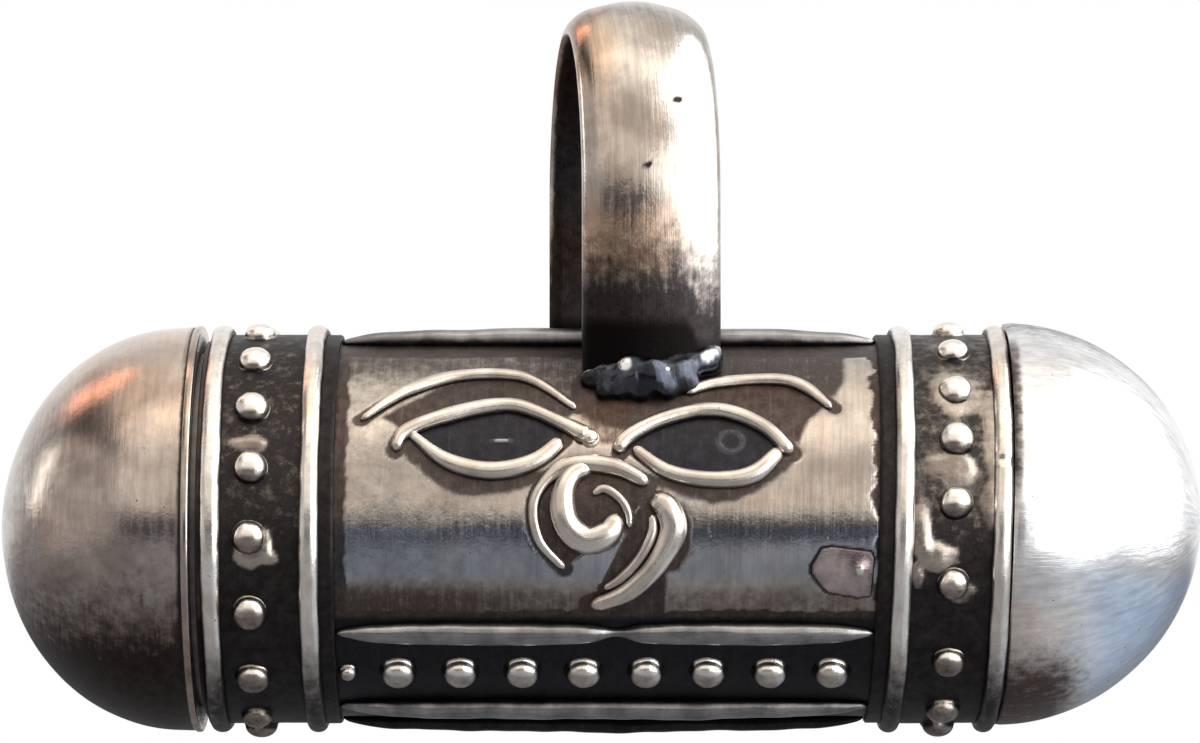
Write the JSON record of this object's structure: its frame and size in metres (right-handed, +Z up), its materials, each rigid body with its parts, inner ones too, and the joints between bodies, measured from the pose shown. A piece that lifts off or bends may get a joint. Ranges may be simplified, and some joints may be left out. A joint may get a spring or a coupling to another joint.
{
  "type": "mantra pendant",
  "caption": "Silver tube pendant with domed ends, a pull-off cap over a rolled paper mantra, granulated bands, a soldered wire eye emblem and a broad arched bail for a cord.",
  "frame": {"origin": "inside top of the bail's arch, where the cord bears", "axes": "+X along the tube towards the soldered dome, -Y out of the decorated front, +Z up through the bail"},
  "size_m": [0.0381, 0.0132, 0.0234],
  "materials": {
    "silver_bright": "sterling silver, polished and finely scratched, oxide left in the recesses",
    "silver_worn": "sterling silver, burnished panel over a blackened ground",
    "silver_dark": "oxidised sterling silver, blackened, bright on its high spots",
    "paper": "handmade paper, uncoated, rolled tight"
  },
  "bodies": {
    "case": {"tube": "silver_worn", "right_dome": "silver_bright", "bail": "silver_bright", "front_foot_solder": "silver_dark", "rear_foot_solder": "silver_dark", "left_granule_band": "silver_dark", "right_granule_band": "silver_dark", "left_outer_ring": "silver_bright", "left_inner_ring": "silver_bright", "right_inner_ring": "silver_bright", "right_outer_ring": "silver_bright", "row_upper_wire": "silver_bright", "row_lower_wire": "silver_bright", "top_wire": "silver_bright", "bottom_wire": "silver_bright", "row_granule_seed": "silver_bright", "row_granule_1": "silver_bright", "row_granule_2": "silver_bright", "row_granule_3": "silver_bright", "row_granule_4": "silver_bright", "row_granule_5": "silver_bright", "row_granule_6": "silver_bright", "row_granule_7": "silver_bright", "row_granule_8": "silver_bright", "left_brow": "silver_bright", "left_upper_lid": "silver_bright", "left_lower_lid": "silver_bright", "right_brow": "silver_bright", "right_upper_lid": "silver_bright", "right_lower_lid": "silver_bright", "swirl_ring": "silver_bright", "swirl_coil": "silver_bright", "swirl_core": "silver_bright", "swirl_tail": "silver_bright", "swirl_vein": "silver_bright"},
    "cap": {"cap_dome": "silver_bright", "cap_collar": "silver_dark"},
    "roll": {"mantra_roll": "paper"}
  },
  "joints": [
    {"name": "cap_pull", "type": "slide", "parent": "case", "child": "cap", "axis": [-1, 0, 0], "range_m": [0, 0.036]},
    {"name": "roll_draw", "type": "slide", "parent": "case", "child": "roll", "axis": [-1, 0, 0], "range_m": [0, 0.0288]}
  ],
  "couplings": [
    {"joint": "roll_draw", "follows": "cap_pull", "ratio": 0.8}
  ]
}
